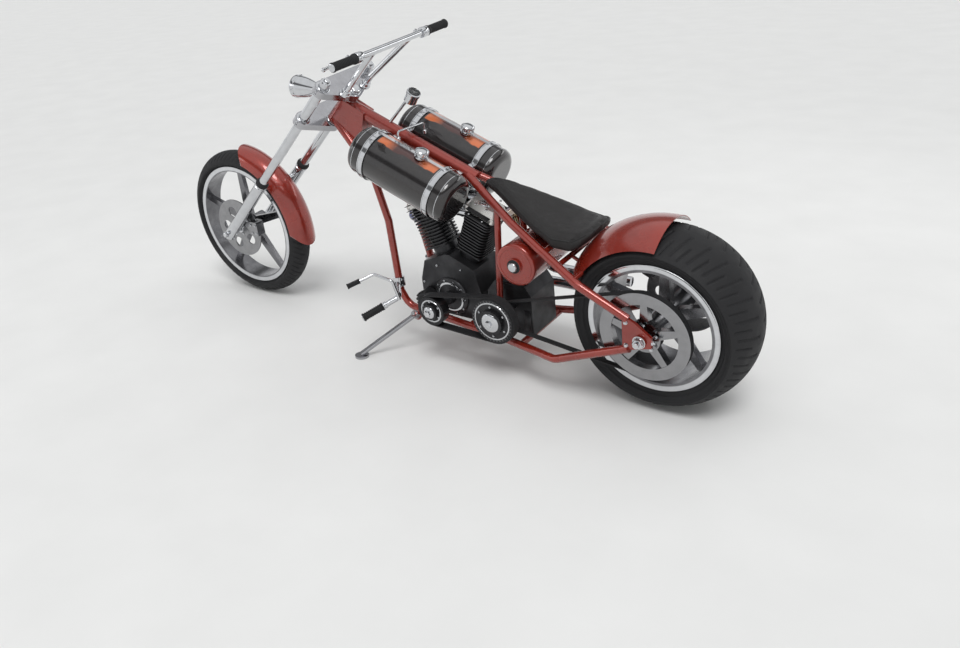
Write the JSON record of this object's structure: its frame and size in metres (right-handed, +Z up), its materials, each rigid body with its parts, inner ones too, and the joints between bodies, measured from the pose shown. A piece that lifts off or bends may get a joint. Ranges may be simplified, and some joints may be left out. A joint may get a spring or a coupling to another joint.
{
  "type": "chopper motorcycle",
  "caption": "Long-fork rigid chopper motorcycle with twin barrel fuel tanks, V-twin engine, low seat and a very wide rear tyre, leaning on its side stand.",
  "frame": {"origin": "on the ground, under the middle of the parked motorcycle's bounding box", "axes": "+X forward, +Y to the motorcycle's left, +Z up; it leans to its left by 5 degrees"},
  "size_m": [2.8949, 0.7602, 1.3097],
  "materials": {
    "frame_paint": "gloss orange-red",
    "tank_paint": "gloss black with orange patches",
    "engine_case": "dark satin",
    "polished": "polished",
    "chrome": "mirror chrome",
    "steel": "ground",
    "belt_rubber": "matt",
    "grip_rubber": "matt",
    "tyre": "worn rubber",
    "seat_cover": "black leather",
    "clear_glass": "clear"
  },
  "bodies": {
    "frame_body": {"frame": "frame_paint", "rear_axle": "chrome", "crankcase": "engine_case", "oil_filter": "engine_case", "front_cylinder": "engine_case", "front_head": "engine_case", "rear_cylinder": "engine_case", "rear_head": "engine_case", "pushrod_tubes": "chrome", "gearbox": "engine_case", "primary_pulleys": "polished", "primary_belt": "belt_rubber", "drive_belt": "belt_rubber", "air_cleaner": "chrome", "front_exhaust": "chrome", "rear_exhaust": "chrome", "left_tank": "tank_paint", "right_tank": "tank_paint", "tank_straps": "chrome", "seat": "seat_cover", "rear_fender": "frame_paint", "oil_tank": "frame_paint", "gauge": "chrome", "rear_brake_caliper": "polished", "left_foot_control": "chrome", "right_foot_control": "chrome"},
    "fork_body": {"lower_tree": "chrome", "upper_tree": "chrome", "left_fork_leg": "chrome", "right_fork_leg": "chrome", "front_axle": "chrome", "headlamp": "chrome", "headlamp_lens": "clear_glass", "front_brake_caliper": "polished", "handlebar": "chrome", "grips": "grip_rubber", "hand_controls": "chrome", "front_fender": "frame_paint"},
    "front_wheel_body": {"front_tyre": "tyre", "front_wheel": "polished", "front_brake_disc": "steel"},
    "rear_wheel_body": {"rear_tyre": "tyre", "rear_wheel": "polished", "rear_brake_disc": "steel", "rear_pulley": "polished"},
    "stand_body": {"side_stand": "chrome"}
  },
  "joints": [
    {"name": "steering", "type": "hinge", "parent": "frame_body", "child": "fork_body", "pos_m": [0.31829, 0.01635, 0.99421], "axis": [-0.729, 0.0597, 0.6819], "range_deg": [-28, 28]},
    {"name": "front_wheel_spin", "type": "hinge", "parent": "fork_body", "child": "front_wheel_body", "pos_m": [1.0795, -0.03853, 0.36684], "axis": [0, 0.9962, -0.0872], "continuous": true},
    {"name": "rear_wheel_spin", "type": "hinge", "parent": "frame_body", "child": "rear_wheel_body", "pos_m": [-1.1075, -0.04092, 0.3396], "axis": [0, 0.9962, -0.0872], "continuous": true},
    {"name": "side_stand", "type": "hinge", "parent": "frame_body", "child": "stand_body", "pos_m": [-0.0635, 0.11294, 0.17065], "axis": [-0.1211, 0.7784, 0.616], "range_deg": [0, 116.8]}
  ]
}
